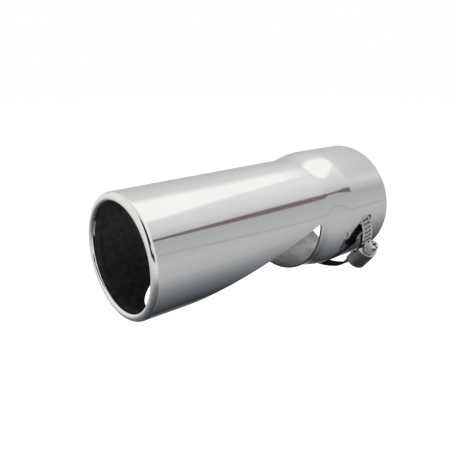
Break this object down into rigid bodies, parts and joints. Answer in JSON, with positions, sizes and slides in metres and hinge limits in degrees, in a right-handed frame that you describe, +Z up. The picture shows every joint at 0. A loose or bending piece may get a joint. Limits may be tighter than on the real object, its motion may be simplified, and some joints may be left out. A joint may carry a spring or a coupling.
{
  "type": "clamp-on exhaust tip",
  "caption": "Polished slip-on exhaust tip with a rolled outlet lip, a notch for a turned-down tailpipe and a worm-drive hose clamp.",
  "frame": {"origin": "centre of the inlet mouth, on the tube's axis", "axes": "+X along the tube's axis out of the inlet mouth, +Z up with the notch facing down, -Y the side with the clamp's screw"},
  "size_m": [0.2053, 0.1005, 0.0899],
  "materials": {
    "polished_steel": "mirror polished",
    "band_steel": "bright rolled",
    "housing_steel": "satin",
    "screw_steel": "bright plated"
  },
  "bodies": {
    "root": {"tip_shell": "polished_steel", "clamp_band": "band_steel", "clamp_housing": "housing_steel"},
    "screw": {"clamp_screw": "screw_steel"}
  },
  "joints": [
    {"name": "screw_turn", "type": "hinge", "parent": "root", "child": "screw", "pos_m": [-0.027, -0.04389, -0.0303], "axis": [-0.1564, -0.6349, 0.7566], "continuous": true}
  ]
}
